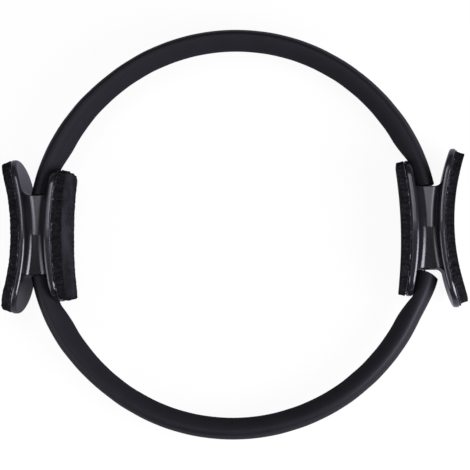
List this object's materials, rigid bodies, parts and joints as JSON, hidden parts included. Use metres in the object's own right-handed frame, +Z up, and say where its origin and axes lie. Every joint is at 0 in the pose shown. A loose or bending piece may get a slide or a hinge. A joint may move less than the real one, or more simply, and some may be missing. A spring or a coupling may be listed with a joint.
{
  "type": "pilates ring",
  "caption": "Sprung exercise hoop: foam-sleeved spring strips run between moulded paddle handles with foam pads, which are squeezed together or pulled apart.",
  "frame": {"origin": "on the floor, below the centre of the ring", "axes": "+X from the left handle to the right one, +Y towards the upper arc, +Z up, along the ring's axis"},
  "size_m": [0.4314, 0.38, 0.056],
  "materials": {
    "handle_plastic": "black moulded plastic, semi-gloss",
    "pad_foam": "black closed-cell foam, matte",
    "sleeve_foam": "black extruded foam tube, matte",
    "adhesive_sheet": "black double-sided sheet",
    "spring_steel": "blued spring steel strip",
    "screw_steel": "zinc plated"
  },
  "bodies": {
    "left_handle": {"left_handle_body": "handle_plastic", "left_inner_pad": "pad_foam", "left_outer_pad": "pad_foam", "left_inner_adhesive": "adhesive_sheet", "left_outer_adhesive": "adhesive_sheet", "left_upper_screw": "screw_steel", "left_lower_screw": "screw_steel"},
    "right_handle": {"right_handle_body": "handle_plastic", "right_inner_pad": "pad_foam", "right_outer_pad": "pad_foam", "right_inner_adhesive": "adhesive_sheet", "right_outer_adhesive": "adhesive_sheet"},
    "upper_arc": {"upper_spring_strip": "spring_steel", "upper_foam_sleeve": "sleeve_foam"},
    "lower_arc": {"lower_spring_strip": "spring_steel", "lower_foam_sleeve": "sleeve_foam"},
    "upper_right_end": {"right_upper_screw": "screw_steel"},
    "lower_right_end": {"right_lower_screw": "screw_steel"}
  },
  "joints": [
    {"name": "ring_squeeze", "type": "slide", "parent": "left_handle", "child": "right_handle", "axis": [-1, 0, 0], "range_m": [-0.04, 0.1], "stiffness_N_per_m": 1200},
    {"name": "upper_arc_bow", "type": "slide", "parent": "left_handle", "child": "upper_arc", "axis": [-0.7367, 0.6763, 0], "range_m": [-0.0273, 0.068], "deforming": ["upper_spring_strip", "upper_foam_sleeve"]},
    {"name": "upper_arc_far_end", "type": "slide", "parent": "upper_arc", "child": "upper_right_end", "axis": [-0.7367, -0.6763, 0], "range_m": [-0.0273, 0.068]},
    {"name": "lower_arc_bow", "type": "slide", "parent": "left_handle", "child": "lower_arc", "axis": [-0.7367, -0.6763, 0], "range_m": [-0.0273, 0.068], "deforming": ["lower_spring_strip", "lower_foam_sleeve"]},
    {"name": "lower_arc_far_end", "type": "slide", "parent": "lower_arc", "child": "lower_right_end", "axis": [-0.7367, 0.6763, 0], "range_m": [-0.0273, 0.068]}
  ],
  "couplings": [
    {"joint": "upper_arc_bow", "follows": "ring_squeeze", "ratio": 0.67873},
    {"joint": "upper_arc_far_end", "follows": "ring_squeeze", "ratio": 0.67873},
    {"joint": "lower_arc_bow", "follows": "ring_squeeze", "ratio": 0.67873},
    {"joint": "lower_arc_far_end", "follows": "ring_squeeze", "ratio": 0.67873}
  ]
}
